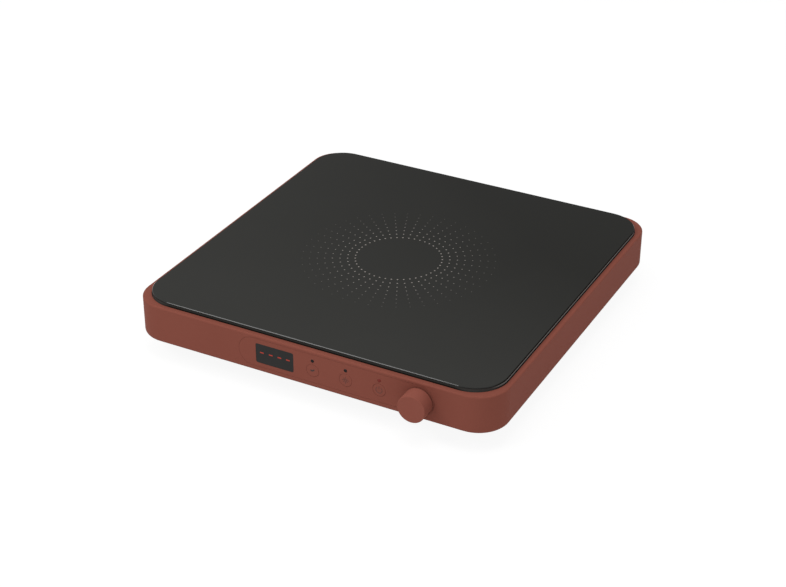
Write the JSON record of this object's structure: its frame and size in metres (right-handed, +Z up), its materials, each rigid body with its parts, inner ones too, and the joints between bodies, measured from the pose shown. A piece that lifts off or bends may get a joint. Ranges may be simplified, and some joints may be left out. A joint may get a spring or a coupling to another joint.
{
  "type": "portable induction cooktop",
  "caption": "Low square induction cooktop: dark glass plate on a terracotta housing, with a front panel of display, indicator lights, push buttons and a rotary knob.",
  "frame": {"origin": "on the table, under the middle of the outline", "axes": "+Z up, front with the controls towards -Y, +X to the cook's right"},
  "size_m": [0.28, 0.294, 0.0469],
  "materials": {
    "dark_glass": "polished dark glass, opaque",
    "silicone": "matte silicone",
    "terracotta_plastic": "fine matte moulding",
    "smoked_window": "smoked acrylic",
    "black_plastic": "fine matte",
    "dark_lens": "clear tinted acrylic, unlit",
    "red_lens": "clear tinted acrylic, lit red",
    "led_package": "moulded",
    "steel": "plated",
    "circuit_board": "solder mask",
    "base_plastic": "grained moulding",
    "rubber": "matte",
    "copper_wire": "enamelled strands",
    "ivory_plastic": "moulded",
    "ferrite": "sintered",
    "mica": "pressed sheet",
    "aluminium": "extruded",
    "film_yellow": "moulded",
    "film_blue": "moulded",
    "fuse_glass": "clear",
    "brass": "plated",
    "grey_cable": "flat ribbon"
  },
  "bodies": {
    "chassis": {"glass_top": "dark_glass", "glass_seal": "silicone", "housing": "terracotta_plastic", "control_panel": "terracotta_plastic", "display_window": "smoked_window", "display_module": "black_plastic", "indicator_timer": "dark_lens", "indicator_boost": "dark_lens", "indicator_power": "red_lens", "indicator_leds": "led_package", "switch_bodies": "steel", "encoder_body": "steel", "encoder_nut": "steel", "control_board": "circuit_board", "control_screws": "steel", "base_cover": "base_plastic", "foot_front_left": "rubber", "foot_front_right": "rubber", "foot_rear_left": "rubber", "foot_rear_right": "rubber", "base_screws": "steel", "fan_frame": "black_plastic", "fan_stator": "copper_wire", "fan_screws": "steel", "coil_former": "ivory_plastic", "coil_winding": "copper_wire", "ferrite_bars": "ferrite", "coil_insulation": "mica", "temperature_sensor": "silicone", "coil_screws": "steel", "power_board": "circuit_board", "power_screws": "steel", "heat_sink": "aluminium", "power_transistor": "black_plastic", "bridge_rectifier": "black_plastic", "filter_capacitor": "film_yellow", "resonant_capacitor": "film_blue", "supply_capacitors": "film_blue", "supply_transformer": "film_yellow", "line_choke": "copper_wire", "fuse": "fuse_glass", "coil_terminals": "brass", "mains_terminal": "ivory_plastic", "buzzer": "black_plastic", "ribbon_cable": "grey_cable", "cord_grommet": "rubber", "cord_clamp": "ivory_plastic", "clamp_screws": "steel"},
    "knob": {"knob": "terracotta_plastic", "encoder_shaft": "steel"},
    "timer_button": {"button_timer": "terracotta_plastic", "plunger_timer": "black_plastic"},
    "boost_button": {"button_boost": "terracotta_plastic", "plunger_boost": "black_plastic"},
    "power_button": {"button_power": "terracotta_plastic", "plunger_power": "black_plastic"},
    "fan": {"fan_rotor": "black_plastic"}
  },
  "joints": [
    {"name": "knob_turn", "type": "hinge", "parent": "chassis", "child": "knob", "pos_m": [0.086, -0.135, 0.03], "axis": [0, 1, 0], "continuous": true},
    {"name": "timer_press", "type": "slide", "parent": "chassis", "child": "timer_button", "axis": [0, 1, 0], "range_m": [0, 0.0007], "stiffness_N_per_m": 400, "springref_m": -0.002},
    {"name": "boost_press", "type": "slide", "parent": "chassis", "child": "boost_button", "axis": [0, 1, 0], "range_m": [0, 0.0007], "stiffness_N_per_m": 400, "springref_m": -0.002},
    {"name": "power_press", "type": "slide", "parent": "chassis", "child": "power_button", "axis": [0, 1, 0], "range_m": [0, 0.0007], "stiffness_N_per_m": 400, "springref_m": -0.002},
    {"name": "fan_spin", "type": "hinge", "parent": "chassis", "child": "fan", "pos_m": [-0.058, 0.047, 0.0082], "axis": [0, 0, 1], "continuous": true}
  ]
}
